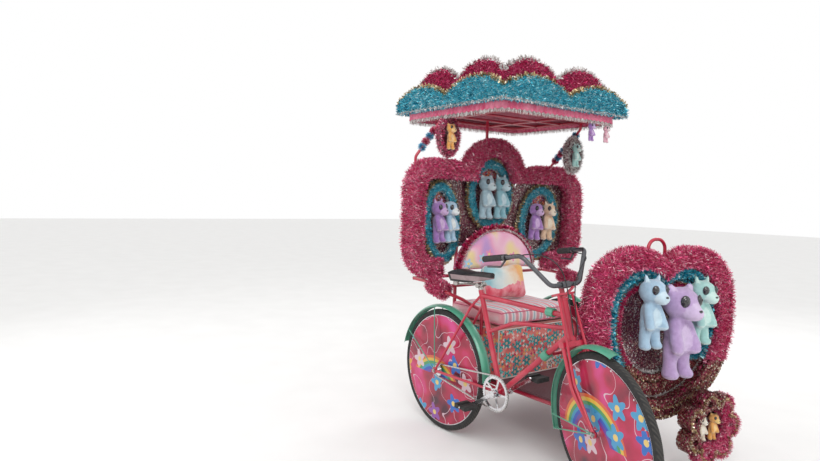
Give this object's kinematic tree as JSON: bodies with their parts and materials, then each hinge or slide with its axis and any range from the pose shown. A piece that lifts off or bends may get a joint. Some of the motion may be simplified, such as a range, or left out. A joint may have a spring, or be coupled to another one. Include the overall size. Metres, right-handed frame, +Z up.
{
  "type": "cycle rickshaw with side car",
  "caption": "Bicycle with a canopied two-seat side car on its left, decorated with tinsel boards, soft toys and printed wheel covers.",
  "frame": {"origin": "on the ground under the middle of the whole vehicle's box", "axes": "+X forward, +Y to the rider's left where the side car is, +Z up"},
  "size_m": [2.025, 1.524, 2.15],
  "materials": {
    "frame_paint": "pink-red gloss paint, worn",
    "carrier_paint": "dark grey paint",
    "jade_paint": "jade green gloss paint",
    "chrome": "chrome plate",
    "steel": "bare steel",
    "tyre": "black rubber",
    "grip": "black rubber",
    "saddle": "black vinyl",
    "wheel_print": "printed sheet",
    "pink_tinsel": "shaggy foil tinsel",
    "teal_tinsel": "shaggy foil tinsel",
    "crimson_tinsel": "shaggy foil tinsel",
    "board": "sequined cloth on board",
    "back_cloth": "red cloth on board",
    "plush_lilac": "short plush",
    "plush_blue": "short plush",
    "plush_cream": "short plush",
    "seat_cloth": "pale pink and white stripes",
    "pad_cloth": "pastel printed cloth",
    "pillow_cloth": "pastel rainbow cloth",
    "floral_cloth": "coral cloth with blossoms",
    "floor": "boards",
    "roof_cloth": "dark red cloth",
    "valance": "red and pink cloth"
  },
  "bodies": {
    "chassis": {"arm_rails": "pink_tinsel", "arm_rolls": "pink_tinsel", "back_bands": "teal_tinsel", "back_board": "back_cloth", "back_border": "pink_tinsel", "back_cushion": "pad_cloth", "back_plush": "plush_blue", "base_ring": "carrier_paint", "bike_frame": "frame_paint", "board_frame": "carrier_paint", "canopy_frame": "carrier_paint", "canopy_roof": "roof_cloth", "canopy_struts": "carrier_paint", "canopy_tier_high": "crimson_tinsel", "canopy_tier_low": "teal_tinsel", "canopy_valance": "valance", "chain": "steel", "coupler_clamps": "jade_paint", "coupling_arms": "carrier_paint", "fixed_axles": "steel", "floor_board": "floor", "flower_board": "board", "flower_border": "pink_tinsel", "flower_plush": "plush_cream", "heart_bands": "teal_tinsel", "heart_board": "board", "heart_border": "pink_tinsel", "heart_plush": "plush_lilac", "pillow": "pillow_cloth", "plaque_plush": "plush_cream", "rear_mudguard": "jade_paint", "saddle": "saddle", "saddle_post": "chrome", "seat_box": "floral_cloth", "seat_cushion": "seat_cloth", "seat_posts": "carrier_paint", "side_mudguard": "jade_paint", "strut_garlands": "teal_tinsel", "strut_plaques": "pink_tinsel", "wheel_carrier": "carrier_paint"},
    "rear_wheel": {"rear_tyre": "tyre", "rear_rim": "chrome", "rear_cover": "wheel_print"},
    "side_wheel": {"side_tyre": "tyre", "side_rim": "chrome", "side_cover": "wheel_print"},
    "steer": {"fork": "frame_paint", "front_axle": "steel", "front_mudguard": "jade_paint", "handlebar": "chrome", "grips": "grip", "brake_levers": "chrome"},
    "front_wheel": {"front_tyre": "tyre", "front_rim": "chrome", "front_cover": "wheel_print"},
    "crank": {"crankset": "chrome"},
    "pedal_right_body": {"pedal_right": "grip"},
    "pedal_left_body": {"pedal_left": "grip"}
  },
  "joints": [
    {"name": "rear_spin", "type": "hinge", "parent": "chassis", "child": "rear_wheel", "pos_m": [-0.48318, -0.53, 0.35509], "axis": [0, 1, 0], "continuous": true},
    {"name": "side_spin", "type": "hinge", "parent": "chassis", "child": "side_wheel", "pos_m": [-0.41318, 0.48, 0.35509], "axis": [0, 1, 0], "continuous": true},
    {"name": "steering", "type": "hinge", "parent": "chassis", "child": "steer", "pos_m": [0.44985, -0.53, 0.71609], "axis": [-0.3007, 0, 0.9537], "range_deg": [-13.2, 46.8]},
    {"name": "front_spin", "type": "hinge", "parent": "steer", "child": "front_wheel", "pos_m": [0.6705, -0.56064, 0.35373], "axis": [0.2757, 0.9573, 0.0869], "continuous": true},
    {"name": "crank_spin", "type": "hinge", "parent": "chassis", "child": "crank", "pos_m": [-0.00118, -0.53, 0.34509], "axis": [0, 1, 0], "continuous": true},
    {"name": "pedal_right_spin", "type": "hinge", "parent": "crank", "child": "pedal_right_body", "pos_m": [-0.14111, -0.592, 0.25212], "axis": [0, 1, 0], "continuous": true},
    {"name": "pedal_left_spin", "type": "hinge", "parent": "crank", "child": "pedal_left_body", "pos_m": [0.13875, -0.468, 0.43806], "axis": [0, 1, 0], "continuous": true}
  ]
}
